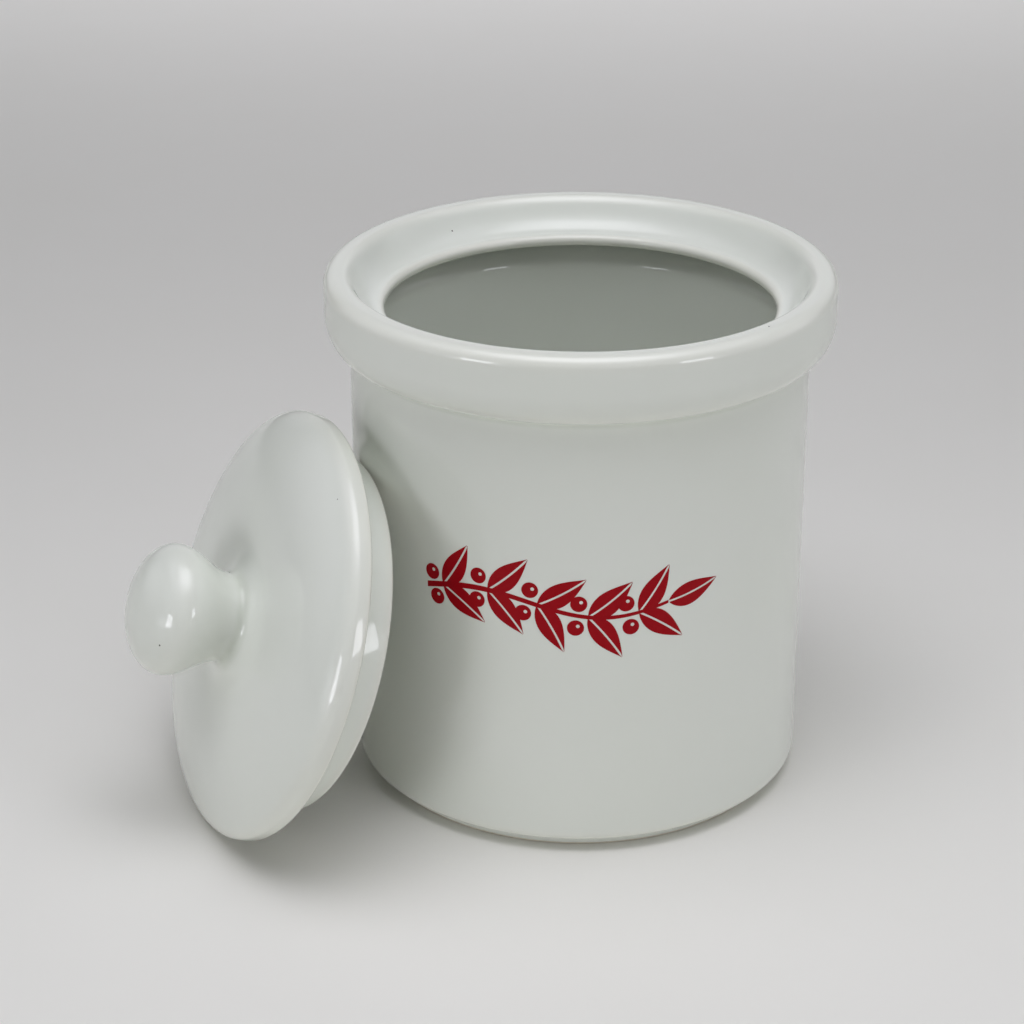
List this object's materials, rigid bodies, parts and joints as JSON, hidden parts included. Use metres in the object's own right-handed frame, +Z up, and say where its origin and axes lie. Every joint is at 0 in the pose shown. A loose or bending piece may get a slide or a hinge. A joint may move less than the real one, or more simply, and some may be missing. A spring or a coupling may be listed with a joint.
{
  "type": "coffee canister",
  "caption": "Round white glazed stoneware canister with a straight wall, a hollow rolled rim and a seat for its loose domed lid, which leans beside it with its round knob.",
  "frame": {"origin": "centre of the foot ring, on the table under the jar's axis", "axes": "+Z up along the jar's axis; the lid leans on the side of -X, in the plane of X and Z"},
  "size_m": [0.1787, 0.124, 0.13],
  "materials": {
    "jar_glaze": "gloss white glaze, bare clay foot ring",
    "lid_glaze": "gloss white glaze"
  },
  "bodies": {
    "jar": {"jar": "jar_glaze"},
    "lid": {"lid": "lid_glaze"}
  },
  "joints": [
    {"name": "lid_draw_off", "type": "slide", "parent": "jar", "child": "lid", "axis": [-0.9415, 0, 0.3371], "range_m": [0, 0.12]}
  ]
}
